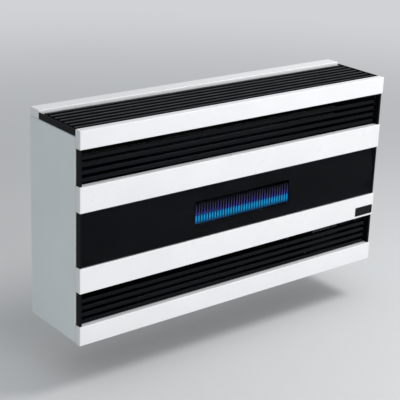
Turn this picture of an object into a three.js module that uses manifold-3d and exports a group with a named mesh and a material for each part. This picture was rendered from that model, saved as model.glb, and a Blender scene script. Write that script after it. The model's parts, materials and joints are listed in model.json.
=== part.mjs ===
// Wall mounted gas heater with a flame window: a wide, shallow balanced-flue convector.
// Millimetres. X runs along the wall to the right and Z up. The wall is the plane y = 0 and the room
// lies towards -Y, so most depths are given as a distance out from the wall.
import * as THREE from 'three';
import { mergeVertices } from 'three/addons/utils/BufferGeometryUtils.js';
import Module from 'manifold-3d';

// Overall sizes; the height is the sum of the fascia's bands below
const heaterWidth = 1000;
const heaterDepth = 230; // wall to the face of the white bands

// Fascia, from the underside up: white bands with the grilles and the glass between them
const bottomBandHeight = 51;
const lowerGrilleHeight = 88;
const lowerBandHeight = 66;
const windowBayHeight = 141;
const upperBandHeight = 66;
const upperGrilleHeight = 91;
const topBandHeight = 47;
const fasciaThickness = 20;
const uprightWidth = 6;
const uprightSetback = 4; // frame uprights behind the face of the bands
const frameLap = 2; // frame plate hidden behind the edges of the bands

// Sheet metal and clearances
const sheet = 1.5;
const flange = 15; // folded edge of a side panel or a small bracket
const trayFlange = 40; // folded edge of the back panel
const fit = 0.3; // between pieces that bear on each other
const seam = 1; // shadow line between the side panels and the fascia
const wallGap = 3; // side panels and rail stop short of the wall
const standOff = 15; // back panel to the wall
const past = 1; // a cut runs past an open face by this much
const punch = 5; // and past a sheet by this much

// Front louvres
const louvreCount = 4;
const louvrePitch = 18.5;
const louvreHeight = 10;
const louvreDepth = 12;
const louvreThickness = 2;
const louvreSetback = 14; // behind the face of the bands
const upperLouvreDrop = 18.5; // from the band above to the first blade
const lowerLouvreDrop = 21;

// Top grille and rear rail
const sideDrop = 18; // side panels end below the top of the fascia
const railRise = 4; // rear rail stands above the fascia
const railDepth = 42;
const topGrilleDrop = 1;
const topSlatCount = 7;
const topSlatWidth = 9;
const topSlatHeight = 12;
const grilleEndWidth = 8;

// Front glass, its mask and the clear window
const glassThickness = 4;
const glassSetback = 2;
const windowWidth = 320;
const windowHeight = 66;
const windowRise = 68; // lower band to the window's middle
const windowOffset = 8; // window's middle to the right of the fascia's

// Blank badge
const badgeWidth = 67;
const badgeHeight = 26;
const badgeThickness = 1.2;
const badgeInset = 5; // from the end of the band
const badgeRise = 7; // above the lower edge of the band
const badgeCorner = 2;

// Combustion chamber and its sight glass
const chamberWidth = 500;
const chamberDepth = 128;
const chamberTall = 255;
const chamberGap = 6; // chamber to the back of the fascia
const chamberWall = 2;
const sightMargin = 45; // sight opening beyond each side of the clear window
const sightBelow = 55; // and below and above the window's middle
const sightAbove = 32;
const sightLap = 20; // glass, gasket and frame beyond the opening
const gasketThickness = 1.5;
const sightGlassThickness = 3;
const baffleSetback = 43; // chamber back to the baffle
const baffleRise = 60; // chamber floor to the baffle's lower edge
const baffleGap = 25; // way over the baffle to the flue
const cradleDrop = 45;

// Burner
const burnerRadius = 13;
const burnerWall = 1.5;
const burnerGap = 15; // burner ends to the chamber's outside
const burnerSetback = 18; // chamber front to the burner's axis
const flameDrop = 49; // burner top below the window's middle
const burnerRise = 54; // chamber floor to the burner's top
const portStripHeight = 4;
const portStripWidth = 10;
const portPitch = 9;
const portWidth = 2;
const portLength = 7;
const trayGap = 10; // tray ends to the chamber's outside
const trayBackGap = 25;
const trayFrontGap = 5;
const saddleSpacing = 340;
const saddleWidth = 10;
const injectorNose = 4;
const injectorShank = 6;
const injectorHex = 11;
const injectorReach = 7; // nose inside the burner's mouth
const injectorSeat = 8; // shank inside the chamber wall
const injectorHead = 8;
const injectorEnd = 14;
const gasBore = 1.5;

// Pilot group, behind the right end of the burner
const pilotSetback = 25; // burner's axis to the pilot
const pilotInset = 30; // from the burner's end
const pilotSpacing = 16;
const pilotRise = 2; // above the burner
const pilotRadius = 5;
const pilotStem = 12; // each stem's length below the tray
const pilotWaist = 1.5;
const pilotCup = 14;
const pilotBore = 2;
const pilotTubeRadius = 2;
const electrodeRadius = 3.5;
const electrodeWire = 1;
const electrodeStem = 20;
const electrodeTip = 22;
const thermocoupleRadius = 2.5;
const thermocoupleStem = 15;
const thermocoupleTip = 14;
const capillaryRadius = 1.5;
const leadRadius = 2;
const bend = 10; // unit of the bends that are set by hand in the small lines

// Flue
const flueRise = 160; // chamber floor to the flue's middle
const flueRadius = 30;
const airRadius = 50;
const flueWall = 1.5;
const flueRim = 12; // flange round the air tube
const flueSetback = 2; // tube ends behind the wall plane
const sealWidth = 16;
const sealThickness = 3;
const ductWidth = 150;
const ductRise = 3; // chamber floor to the duct's
const ductCrown = 70; // flue's middle to the duct's top
const ductPortRise = 5;
const ductPortHeight = 28;

// Wall fixing
const bracketDrop = 100; // top of the fascia to the bracket's middle, where the origin is
const bracketWidth = 900;
const bracketPlate = 60;
const bracketSheet = 2;
const bracketShelf = 10; // shelf below the bracket's middle
const bracketChannel = 11;
const bracketLip = 12;
const bracketHole = 4;
const bracketHoleDrop = 20; // holes below the bracket's middle
const bracketHoles = [153, 405]; // to the left and right of the middle
const hookSpacing = 600;
const hookWidth = 120;
const footWidth = 40;
const footHeight = 40;
const footBottom = 40;

// Controls at the right side
const recessDepth = 30;
const recessGap = 21; // recess to the side panel's front edge
const recessWidth = 100;
const recessBottom = 70;
const recessHeight = 70;
const bezelLip = 8;
const knobInset = 30; // recess back to the knob's axis
const knobRadius = 21;
const knobHeight = 20;
const knobSkirt = 4; // skirt beyond the grip
const knobSkirtHeight = 5;
const knobChamfer = 2;
const knobCap = 3;
const knobFlutes = 16;
const knobFlute = 1.2;
const knobTravel = 4;
const knobSkirtGap = 0.5;
const pointerWidth = 2;
const pointerProud = 0.8;
const spindleRadius = 3;
const spindleBite = 20; // spindle inside the valve
const spindleEnd = 1; // spindle to the cap of a pressed knob
const valveToFloor = 28;
const valveWidth = 100;
const valveBackHalf = 33; // spindle's axis to the valve's back and front
const valveFrontHalf = 32;
const valveHeight = 70;
const bossRadius = 12;
const bossLength = 10;
const outletX = 50; // gas outlet, in from the valve's right face
const inletX = 75;
const inletSetback = 10; // behind the spindle's axis
const inletLength = 36;
const inletBore = 4;
const supplyHole = 18; // in the casing's floor, under the gas inlet
const unionNut = 14;
const unionStep = 2; // nut and tail, wider and narrower than the valve's boss
const pipeRadius = 5;
const igniterInset = 25; // recess front to the igniter's axis
const igniterRadius = 9;
const igniterLength = 45;
const igniterCollar = 12;
const igniterNose = 4;
const igniterPin = 3;
const igniterPinLength = 6;
const buttonRadius = 6.5;
const buttonProud = 14;
const buttonTravel = 6;
const buttonBite = 15;
const edgeBreak = 1; // small chamfer on turned and moulded edges
const bulbRadius = 4;
const bulbLength = 90;
const bulbX = 230;
const bulbOut = 35;

// Sizes that follow from those above: casing and fascia
const halfWidth = heaterWidth / 2;
const lowerGrilleBottom = bottomBandHeight;
const lowerBandBottom = lowerGrilleBottom + lowerGrilleHeight;
const windowBayBottom = lowerBandBottom + lowerBandHeight;
const upperBandBottom = windowBayBottom + windowBayHeight;
const upperGrilleBottom = upperBandBottom + upperBandHeight;
const topBandBottom = upperGrilleBottom + upperGrilleHeight;
const fasciaHeight = topBandBottom + topBandHeight;
const sideHeight = fasciaHeight - sideDrop;
const railHeight = fasciaHeight + railRise;
const topGrilleHeight = fasciaHeight - topGrilleDrop;
const bracketHeight = fasciaHeight - bracketDrop;
const fasciaBack = heaterDepth - fasciaThickness;
const panelFront = fasciaBack - seam;
const frameHalf = halfWidth - sheet - fit; // inside the bands' folded ends
const bayHalf = frameHalf - uprightWidth; // clear half width between the uprights
const framePlateBack = fasciaBack + fit;
const framePlateFront = framePlateBack + sheet;
const bandBack = framePlateFront + fit;
const uprightFront = heaterDepth - uprightSetback;
const glassFront = heaterDepth - glassSetback;
const glassBack = glassFront - glassThickness;
const maskFront = glassBack - fit;
const maskBack = maskFront - sheet;
const backPlate = standOff + sheet; // front face of the back panel

// Chamber, burner and flue
const windowMiddle = windowBayBottom + windowRise;
const burnerTop = windowMiddle - flameDrop;
const burnerAxis = burnerTop - portStripHeight - burnerRadius;
const chamberFront = panelFront - chamberGap;
const chamberBack = chamberFront - chamberDepth;
const chamberBottom = burnerTop - burnerRise;
const chamberTop = chamberBottom + chamberTall;
const sightWidth = windowWidth + 2 * sightMargin;
const sightBottom = windowMiddle - sightBelow;
const sightTop = windowMiddle + sightAbove;
const baffleOut = chamberBack + baffleSetback;
const burnerLength = chamberWidth - 2 * burnerGap;
const burnerOut = chamberFront - burnerSetback;
const trayWidth = chamberWidth - 2 * trayGap;
const trayBack = chamberBack + trayBackGap;
const trayFront = chamberFront - trayFrontGap;
const trayTop = chamberBottom - fit;
const injectorTail = chamberWidth / 2 + fit + injectorHead + injectorEnd;
const pilotOut = burnerOut - pilotSetback;
const pilotX = burnerLength / 2 - pilotInset;
const pilotTop = burnerTop + pilotRise;
const flueHeight = chamberBottom + flueRise;
const ductBottom = chamberBottom + ductRise;
const ductTop = flueHeight + ductCrown;

// Controls
const recessFloor = halfWidth - recessDepth;
const recessFront = panelFront - recessGap;
const recessBack = recessFront - recessWidth;
const recessTop = recessBottom + recessHeight;
const controlHeight = recessBottom + recessHeight / 2;
const knobOut = recessBack + knobInset;
const knobBase = recessFloor + knobTravel + knobSkirtGap;
const igniterOut = recessFront - igniterInset;
const valveRight = recessFloor - sheet - valveToFloor;
const valveLeft = valveRight - valveWidth;
const valveBack = knobOut - valveBackHalf;
const valveFront = knobOut + valveFrontHalf;
const valveBottom = controlHeight - valveHeight / 2;
const valveTop = valveBottom + valveHeight;
const valvePlate = valveBottom - fit; // top of the bracket under the valve
const inletOut = knobOut - inletSetback;

const wasm = await Module();
wasm.setup();

// A closed geometry as a solid that can be joined and cut
function toSolid(geometry) {
  const bare = geometry.clone();
  bare.deleteAttribute('normal');
  bare.deleteAttribute('uv');
  const merged = mergeVertices(bare, 1e-4);
  const corners = merged.index.array;
  const triangles = [];
  for (let i = 0; i < corners.length; i += 3) {
    const [a, b, c] = [corners[i], corners[i + 1], corners[i + 2]];
    if (a !== b && b !== c && c !== a) triangles.push(a, b, c);
  }
  const vertProperties = new Float32Array(merged.attributes.position.array);
  const triVerts = new Uint32Array(triangles);
  return new wasm.Manifold(new wasm.Mesh({ numProp: 3, vertProperties, triVerts }));
}

function toGeometry(solid) {
  const { vertProperties, triVerts } = solid.getMesh();
  const geometry = new THREE.BufferGeometry();
  geometry.setAttribute('position', new THREE.BufferAttribute(vertProperties, 3));
  geometry.setIndex(new THREE.BufferAttribute(triVerts, 1));
  geometry.computeVertexNormals();
  return geometry;
}

function joined(...geometries) {
  return toGeometry(geometries.map(toSolid).reduce((whole, part) => whole.add(part)));
}

function cut(geometry, ...tools) {
  return toGeometry(tools.map(toSolid).reduce((whole, tool) => whole.subtract(tool), toSolid(geometry)));
}

// A box between two values along the wall, two distances out from the wall and two heights
function slab([x0, x1], [out0, out1], [z0, z1]) {
  const box = new THREE.BoxGeometry(Math.abs(x1 - x0), Math.abs(out1 - out0), Math.abs(z1 - z0));
  return box.translate((x0 + x1) / 2, -(out0 + out1) / 2, (z0 + z1) / 2);
}

// A turned piece: points are [radius, distance along the axis], and the axis is 'x', 'out' or 'z'
function turned(points, axis, segments = 32) {
  const lathe = new THREE.LatheGeometry(points.map(([r, along]) => new THREE.Vector2(r, along)), segments);
  if (axis === 'x') lathe.rotateZ(-Math.PI / 2);
  if (axis === 'out') lathe.rotateX(Math.PI);
  if (axis === 'z') lathe.rotateX(Math.PI / 2);
  return lathe;
}

const rod = (radius, from, to) => [[0, from], [radius, from], [radius, to], [0, to]];
const ring = (inner, outer, from, to) => [
  [inner, from], [outer, from], [outer, to], [inner, to], [inner, from]];

// A round bar along an axis through a point, for bores and bosses
function bar(radius, axis, [from, to], [x, out, z], segments = 32) {
  return turned(rod(radius, from, to), axis, segments).translate(x, -out, z);
}

// A section given as [out, height] points, drawn along the wall
function drawnAlongX(section, [x0, x1]) {
  const length = x1 - x0;
  const blade = new THREE.ExtrudeGeometry(section, { depth: length, bevelEnabled: false, curveSegments: 4 });
  const basis = new THREE.Matrix4().makeBasis(
    new THREE.Vector3(0, -1, 0), new THREE.Vector3(0, 0, 1), new THREE.Vector3(-1, 0, 0));
  return blade.applyMatrix4(basis).translate(x1, 0, 0);
}

// A tube through points given as [x, out, z]
function tubeThrough(points, radius, steps, sides = 6) {
  const route = points.map(([x, out, z]) => new THREE.Vector3(x, -out, z));
  const path = new THREE.CatmullRomCurve3(route, false, 'centripetal');
  const section = new THREE.Shape().absarc(0, 0, radius, 0, 2 * Math.PI, false);
  const options = { steps, extrudePath: path, curveSegments: sides / 2, bevelEnabled: false };
  return new THREE.ExtrudeGeometry(section, options);
}

// Casing

function sidePanel(sign) {
  const outer = sign * halfWidth;
  const fold = outer - sign * flange;
  return joined(
    slab([outer, outer - sign * sheet], [wallGap, panelFront], [0, sideHeight]),
    slab([outer, sign * bayHalf], [panelFront - sheet, panelFront], [0, sideHeight]),
    slab([outer, fold], [wallGap, panelFront], [sideHeight - sheet, sideHeight]),
    slab([outer, fold], [wallGap, panelFront], [0, sheet]));
}

function rightSidePanel() {
  const edge = sheet + fit;
  return cut(sidePanel(1), slab(
    [halfWidth - sheet - past, halfWidth + past],
    [recessBack - edge, recessFront + edge],
    [recessBottom - edge, recessTop + edge]));
}

function backPanel() {
  const low = sheet + fit;
  const high = sideHeight - sheet - fit;
  const tray = [
    slab([-frameHalf, frameHalf], [standOff, backPlate], [low, high]),
    slab([-frameHalf, frameHalf], [standOff, standOff + trayFlange], [high - sheet, high]),
    slab([-frameHalf, frameHalf], [standOff, standOff + trayFlange], [low, low + sheet]),
  ];
  const lipTop = bracketHeight + bracketPlate / 2 - fit - sheet;
  const hookFront = bracketSheet + bracketChannel / 2;
  const hookBottom = bracketHeight - bracketShelf + bracketSheet + fit;
  for (const sign of [-1, 1]) {
    const edge = [sign * frameHalf, sign * (frameHalf - sheet)];
    tray.push(slab(edge, [standOff, standOff + trayFlange], [low, high]));
    const middle = sign * hookSpacing / 2;
    const hook = [middle - hookWidth / 2, middle + hookWidth / 2];
    tray.push(slab(hook, [hookFront - sheet, backPlate], [lipTop - sheet, lipTop]));
    tray.push(slab(hook, [hookFront - sheet, hookFront], [hookBottom, lipTop]));
    const foot = [middle - footWidth / 2, middle + footWidth / 2];
    tray.push(slab(foot, [0, backPlate], [footBottom, footBottom + footHeight]));
  }
  const through = [standOff - past, backPlate + past];
  return cut(joined(...tray), bar(airRadius + fit, 'out', through, [0, 0, flueHeight], 48));
}

function wallBracket() {
  const half = bracketWidth / 2;
  const shelf = bracketHeight - bracketShelf;
  const lipFront = bracketSheet + bracketChannel;
  const rise = [bracketHeight - bracketPlate / 2, bracketHeight + bracketPlate / 2];
  const plate = joined(
    slab([-half, half], [0, bracketSheet], rise),
    slab([-half, half], [0, lipFront], [shelf, shelf + bracketSheet]),
    slab([-half, half], [lipFront - sheet, lipFront], [shelf, shelf + bracketLip]));
  const holes = bracketHoles.flatMap((x) => [-x, x]).map((x) =>
    bar(bracketHole, 'out', [-past, bracketSheet + past], [x, 0, bracketHeight - bracketHoleDrop], 16));
  return cut(plate, ...holes);
}

function topRail() {
  const low = sideHeight + fit;
  const front = wallGap + railDepth;
  return joined(
    slab([-halfWidth, halfWidth], [wallGap, front], [railHeight - sheet, railHeight]),
    slab([-halfWidth, halfWidth], [front - sheet, front], [low, railHeight]),
    slab([-halfWidth, halfWidth], [wallGap, wallGap + sheet], [low, railHeight]),
    slab([-halfWidth, sheet - halfWidth], [wallGap, front], [low, railHeight]),
    slab([halfWidth - sheet, halfWidth], [wallGap, front], [low, railHeight]));
}

// One cheek of the top grille, a channel that opens downwards
function grilleEnd(sign) {
  const outer = sign * halfWidth;
  const inner = sign * (halfWidth - grilleEndWidth);
  const run = [wallGap + railDepth + fit, fasciaBack - fit];
  const heights = [sideHeight + fit, topGrilleHeight];
  return joined(
    slab([outer, outer - sign * sheet], run, heights),
    slab([inner, inner + sign * sheet], run, heights),
    slab([outer, inner], run, [topGrilleHeight - sheet, topGrilleHeight]));
}

function topSlat() {
  const half = topSlatWidth / 2;
  const round = sheet;
  const section = new THREE.Shape();
  section.moveTo(-half, -topSlatHeight);
  section.lineTo(sheet - half, -topSlatHeight);
  section.lineTo(sheet - half, -sheet);
  section.lineTo(half - sheet, -sheet);
  section.lineTo(half - sheet, -topSlatHeight);
  section.lineTo(half, -topSlatHeight);
  section.lineTo(half, -round);
  section.absarc(half - round, -round, round, 0, Math.PI / 2, false);
  section.lineTo(round - half, 0);
  section.absarc(round - half, -round, round, Math.PI / 2, Math.PI, false);
  section.lineTo(-half, -topSlatHeight);
  const reach = halfWidth - grilleEndWidth - fit;
  return drawnAlongX(section, [-reach, reach]);
}

// Fascia

function frontFrame() {
  const low = sheet + fit;
  const high = fasciaHeight - sheet - fit;
  const uprights = [-1, 1].map((sign) =>
    slab([sign * frameHalf, sign * bayHalf], [framePlateBack, uprightFront], [low, high]));
  const plate = slab([-frameHalf, frameHalf], [framePlateBack, framePlateFront], [low, high]);
  const through = [framePlateBack - past, framePlateFront + past];
  const bays = [
    slab([-bayHalf, bayHalf], through, [lowerGrilleBottom - frameLap, lowerBandBottom + frameLap]),
    slab([-bayHalf, bayHalf], through, [upperGrilleBottom - frameLap, topBandBottom + frameLap]),
    slab([-sightWidth / 2, sightWidth / 2], through, [sightBottom, sightTop + frameLap]),
  ];
  return joined(cut(plate, ...bays), ...uprights);
}

// A white band: a shallow tray, open to the rear, notched where it passes the frame's uprights
function band(low, high) {
  const top = high === fasciaHeight ? fasciaBack + fit : bandBack;
  const folds = [
    slab([-halfWidth, halfWidth], [top, heaterDepth], [high - sheet, high]),
    slab([-halfWidth, halfWidth], [bandBack, heaterDepth], [low, low + sheet]),
  ];
  for (const sign of [-1, 1]) {
    const end = [sign * halfWidth, sign * (halfWidth - sheet)];
    folds.push(slab(end, [framePlateBack, heaterDepth], [low, high]));
  }
  const face = slab([-halfWidth, halfWidth], [heaterDepth - sheet, heaterDepth], [low, high]);
  const notches = [-1, 1].map((sign) => slab(
    [sign * (frameHalf + fit), sign * (bayHalf - fit)],
    [framePlateBack - past, uprightFront + fit],
    [sheet, fasciaHeight - sheet]));
  return cut(joined(face, ...folds), ...notches);
}

function louvre() {
  const round = louvreThickness / 2;
  const section = new THREE.Shape();
  section.moveTo(-louvreDepth, -louvreThickness);
  section.lineTo(-louvreThickness, -louvreThickness);
  section.lineTo(-louvreThickness, -louvreHeight);
  section.lineTo(0, -louvreHeight);
  section.lineTo(0, -round);
  section.absarc(-round, -round, round, 0, Math.PI / 2, false);
  section.lineTo(-louvreDepth, 0);
  section.lineTo(-louvreDepth, -louvreThickness);
  const reach = bayHalf - fit;
  return drawnAlongX(section, [-reach, reach]);
}

function windowMask() {
  const half = bayHalf - fit;
  const low = windowBayBottom + fit;
  const high = upperBandBottom - fit;
  const tray = joined(
    slab([-half, half], [maskBack, maskFront], [low, high]),
    slab([-half, half], [bandBack, maskFront], [low, low + sheet]),
    slab([-half, half], [bandBack, maskFront], [high - sheet, high]));
  return cut(tray, slab(
    [windowOffset - windowWidth / 2, windowOffset + windowWidth / 2],
    [maskBack - past, maskFront + past],
    [windowMiddle - windowHeight / 2, windowMiddle + windowHeight / 2]));
}

function badge() {
  const [w, h, r] = [badgeWidth / 2, badgeHeight / 2, badgeCorner];
  const outline = new THREE.Shape();
  outline.absarc(w - r, h - r, r, 0, Math.PI / 2, false);
  outline.absarc(r - w, h - r, r, Math.PI / 2, Math.PI, false);
  outline.absarc(r - w, r - h, r, Math.PI, 1.5 * Math.PI, false);
  outline.absarc(w - r, r - h, r, 1.5 * Math.PI, 2 * Math.PI, false);
  return new THREE.ExtrudeGeometry(outline, { depth: badgeThickness, bevelEnabled: false, curveSegments: 4 })
    .rotateX(Math.PI / 2);
}

// The floor of the casing: a tray with a hole for the gas supply
function bottomPan() {
  const back = standOff + trayFlange + fit;
  const front = panelFront - sheet - fit;
  const low = sheet + fit;
  const rise = [low, low + flange];
  return cut(
    joined(
      slab([-frameHalf, frameHalf], [back, front], [low, low + sheet]),
      slab([-frameHalf, frameHalf], [back, back + sheet], rise),
      slab([-frameHalf, frameHalf], [front - sheet, front], rise)),
    bar(supplyHole, 'z', [low - punch, low + punch], [valveRight - inletX, inletOut, 0]));
}

// Combustion chamber, its window and the flue

function combustionChamber() {
  const half = chamberWidth / 2;
  const shell = slab([-half, half], [chamberBack, chamberFront], [chamberBottom, chamberTop]);
  const inside = slab(
    [chamberWall - half, half - chamberWall],
    [chamberBack + chamberWall, chamberFront - chamberWall],
    [chamberBottom + chamberWall, chamberTop - chamberWall]);
  const sight = slab(
    [-sightWidth / 2, sightWidth / 2], [chamberFront - punch, chamberFront + past], [sightBottom, sightTop]);
  const floorHole = slab(
    [flange - trayWidth / 2, trayWidth / 2 - flange],
    [trayBack + flange, trayFront - flange / 2],
    [chamberBottom - past, chamberBottom + punch]);
  const airPort = slab(
    [flange - ductWidth / 2, ductWidth / 2 - flange],
    [chamberBack - past, chamberBack + punch],
    [ductBottom + ductPortRise, ductBottom + ductPortHeight]);
  return cut(shell, inside, sight, floorHole, airPort,
    bar(flueRadius + fit, 'out', [chamberBack - past, chamberBack + punch], [0, 0, flueHeight], 48),
    bar(injectorShank + fit, 'x', [half - punch, half + past], [0, burnerOut, burnerAxis], 24));
}

function flueBaffle() {
  const half = chamberWidth / 2 - chamberWall - fit;
  const low = chamberBottom + chamberWall + baffleRise;
  const high = chamberTop - chamberWall - baffleGap;
  const front = baffleOut + sheet;
  return joined(
    slab([-half, half], [baffleOut, front], [low, high]),
    slab([-half, sheet - half], [baffleOut - flange, front], [low, high]),
    slab([half - sheet, half], [baffleOut - flange, front], [low, high]));
}

function chamberCradle() {
  const half = chamberWidth / 2 - flange;
  const back = backPlate + fit;
  const front = trayBack - fit;
  const low = trayTop - cradleDrop;
  return joined(
    slab([-half, half], [back, back + sheet], [low, trayTop]),
    slab([-half, half], [back, front], [trayTop - sheet, trayTop]),
    slab([-half, sheet - half], [back, front], [low, trayTop]),
    slab([half - sheet, half], [back, front], [low, trayTop]));
}

// A flat ring round the chamber's window, wider than the opening by the lap
function sightRing(thickness) {
  const outer = [sightWidth / 2 + sightLap, (sightTop - sightBottom) / 2 + sightLap];
  return cut(
    new THREE.BoxGeometry(2 * outer[0], thickness, 2 * outer[1]),
    new THREE.BoxGeometry(sightWidth, thickness + 2 * past, sightTop - sightBottom));
}

function sightPane() {
  return new THREE.BoxGeometry(
    sightWidth + 2 * sightLap, sightGlassThickness, sightTop - sightBottom + 2 * sightLap);
}

function flueTube() {
  const front = chamberBack + chamberWall + sheet;
  return turned(ring(flueRadius - flueWall, flueRadius, flueSetback, front), 'out', 48);
}

// The outer tube, with the flange that holds it to the front of the back panel
function airTube() {
  const flangeBack = backPlate + fit;
  const flangeFront = flangeBack + sheet;
  const inner = airRadius - flueWall;
  return turned([
    [inner, flueSetback], [airRadius, flueSetback], [airRadius, flangeBack],
    [airRadius + flueRim, flangeBack], [airRadius + flueRim, flangeFront], [inner, flangeFront],
    [inner, flueSetback],
  ], 'out', 48);
}

function flueSeal() {
  const front = standOff - fit;
  return turned(ring(airRadius + fit, airRadius + sealWidth, front - sealThickness, front), 'out', 48);
}

// Fresh-air duct from the outer tube down to the chamber's floor: a tray that the chamber's back closes
function airDuct() {
  const back = backPlate + 2 * fit + sheet;
  const front = chamberBack - fit;
  const half = ductWidth / 2;
  const shell = slab([-half, half], [back, front], [ductBottom, ductTop]);
  const inside = slab(
    [sheet - half, half - sheet], [back + sheet, front + past], [ductBottom + sheet, ductTop - sheet]);
  return cut(shell, inside,
    bar(airRadius - flueWall, 'out', [back - past, back + punch], [0, 0, flueHeight], 48));
}

// Burner and gas parts

function burner() {
  const half = burnerLength / 2;
  const inner = burnerRadius - burnerWall;
  const tube = turned([
    [0, -half], [burnerRadius, -half], [burnerRadius, half],
    [inner, half], [inner, burnerWall - half], [0, burnerWall - half],
  ], 'x', 24);
  const stripEnd = half - burnerRadius;
  const strip = slab(
    [-stripEnd, stripEnd], [-portStripWidth / 2, portStripWidth / 2],
    [burnerRadius - burnerWall, burnerRadius + portStripHeight]);
  const perSide = Math.floor((stripEnd - portPitch) / portPitch);
  const ports = [];
  for (let i = -perSide; i <= perSide; i++) {
    const x = i * portPitch;
    ports.push(slab(
      [x - portWidth / 2, x + portWidth / 2], [-portLength / 2, portLength / 2],
      [inner - punch, burnerRadius + portStripHeight + past]));
  }
  return cut(joined(tube, strip), ...ports);
}

function burnerTray() {
  const half = trayWidth / 2;
  const saddles = [-1, 1].map((sign) => {
    const middle = sign * saddleSpacing / 2;
    return slab(
      [middle - sheet, middle + sheet], [burnerOut - saddleWidth / 2, burnerOut + saddleWidth / 2 - fit],
      [trayTop - sheet, burnerAxis]);
  });
  const plate = slab([-half, half], [trayBack, trayFront], [trayTop - sheet, trayTop]);
  const stemHoles = [
    [pilotRadius, pilotX],
    [electrodeRadius, pilotX - pilotSpacing],
    [thermocoupleRadius, pilotX + pilotSpacing],
  ].map(([radius, x]) => bar(radius + fit, 'z', [trayTop - punch, trayTop + punch], [x, pilotOut, 0], 24));
  return cut(joined(plate, ...saddles), ...stemHoles,
    bar(burnerRadius + fit, 'x', [-half, half], [0, burnerOut, burnerAxis]));
}

// Gas jet, screwed through the chamber's right wall into the mouth of the burner
function injector() {
  const wall = chamberWidth / 2;
  const nose = burnerLength / 2 - injectorReach;
  const seat = wall - injectorSeat;
  const tail = wall + fit + injectorHead;
  return turned([
    [gasBore, nose], [injectorNose, nose], [injectorNose, seat], [injectorShank, seat],
    [injectorShank, wall + fit], [injectorHex, wall + fit], [injectorHex, tail], [injectorShank, tail],
    [injectorShank, injectorTail], [gasBore, injectorTail], [gasBore, nose],
  ], 'x', 16);
}

// Pilot: a stem with a waist below its cup
function pilotBurner() {
  const foot = trayTop - pilotStem;
  const waist = pilotRadius - pilotWaist;
  const waistBottom = pilotTop - pilotCup;
  const waistTop = pilotTop - 2 * pilotBore;
  const cupFloor = pilotTop - 4 * pilotBore;
  return turned([
    [0, foot], [pilotRadius, foot], [pilotRadius, waistBottom], [waist, waistBottom + pilotWaist],
    [waist, waistTop], [pilotRadius, waistTop + pilotWaist], [pilotRadius, pilotTop], [pilotBore, pilotTop],
    [pilotBore, cupFloor], [0, cupFloor],
  ], 'z', 16);
}

function sparkElectrode() {
  const foot = trayTop - electrodeStem;
  const shoulder = pilotTop - electrodeTip;
  return turned([
    [0, foot], [electrodeRadius, foot], [electrodeRadius, shoulder],
    [electrodeWire, shoulder + electrodeRadius], [electrodeWire, pilotTop], [0, pilotTop],
  ], 'z', 16);
}

function thermocouple() {
  const x = pilotX + pilotSpacing;
  const foot = trayTop - thermocoupleStem;
  const shoulder = pilotTop - thermocoupleTip;
  const tip = pilotTop + pilotRise;
  const probe = turned([
    [0, foot], [thermocoupleRadius, foot], [thermocoupleRadius, shoulder],
    [capillaryRadius, shoulder + thermocoupleRadius], [capillaryRadius, tip], [0, tip],
  ], 'z', 16).translate(x, -pilotOut, 0);
  const out = pilotOut - 2.5 * bend;
  const height = controlHeight + 1.8 * bend;
  const lead = tubeThrough([
    [x, pilotOut, foot + 0.2 * bend],
    [x, pilotOut, foot - 0.8 * bend],
    [x + 1.2 * bend, pilotOut - 0.5 * bend, foot - 2.8 * bend],
    [valveLeft - 5 * bend, out + 0.5 * bend, height],
    [valveLeft - 2 * bend, out, height],
    [valveLeft - fit, out, height],
  ], capillaryRadius, 26);
  return joined(probe, lead);
}

function pilotTube() {
  const foot = trayTop - pilotStem - fit;
  const out = pilotOut - 5 * bend;
  const height = controlHeight - bend;
  return tubeThrough([
    [pilotX, pilotOut, foot],
    [pilotX, pilotOut, foot - 1.4 * bend],
    [pilotX + 1.4 * bend, pilotOut - bend, foot - 3.6 * bend],
    [valveLeft - 6 * bend, out + 0.8 * bend, height + 0.5 * bend],
    [valveLeft - 2 * bend, out, height],
    [valveLeft - fit, out, height],
  ], pilotTubeRadius, 26);
}

function ignitionLead() {
  const x = pilotX - pilotSpacing;
  const foot = trayTop - electrodeStem - fit;
  const start = recessFloor - igniterLength - fit;
  return tubeThrough([
    [start, igniterOut, controlHeight],
    [start - 1.6 * bend, igniterOut, controlHeight],
    [start - 6 * bend, igniterOut + 1.2 * bend, controlHeight - 2.5 * bend],
    [x + 7 * bend, igniterOut + 1.5 * bend, controlHeight - 2 * bend],
    [x + 1.4 * bend, igniterOut + 0.8 * bend, foot - 3.4 * bend],
    [x, pilotOut, foot - 1.4 * bend],
    [x, pilotOut, foot],
  ], leadRadius, 32);
}

function gasPipe() {
  const start = injectorTail + fit;
  const outlet = valveRight - outletX;
  const end = valveTop + bossLength + fit;
  return tubeThrough([
    [start, burnerOut, burnerAxis],
    [start + 1.4 * bend, burnerOut, burnerAxis],
    [start + 4 * bend, burnerOut - 0.6 * bend, burnerAxis - 0.6 * bend],
    [outlet - 2.4 * bend, knobOut + 1.6 * bend, end + 4 * bend],
    [outlet, knobOut, end + 1.6 * bend],
    [outlet, knobOut, end],
  ], pipeRadius, 26, 10);
}

function gasValve() {
  const middle = [0, knobOut, controlHeight];
  const outlet = [valveRight - outletX, knobOut, 0];
  const inlet = [valveRight - inletX, inletOut, 0];
  const boreEnd = valveRight + bossLength - spindleBite;
  return cut(
    joined(
      slab([valveLeft, valveRight], [valveBack, valveFront], [valveBottom, valveTop]),
      bar(bossRadius, 'x', [valveRight - punch, valveRight + bossLength], middle, 24),
      bar(bossRadius, 'z', [valveTop - punch, valveTop + bossLength], outlet, 24),
      bar(bossRadius, 'z', [valveBottom - bossLength, valveBottom + punch], inlet, 24)),
    bar(spindleRadius + 2 * fit, 'x', [boreEnd, valveRight + bossLength + past], middle, 24));
}

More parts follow.
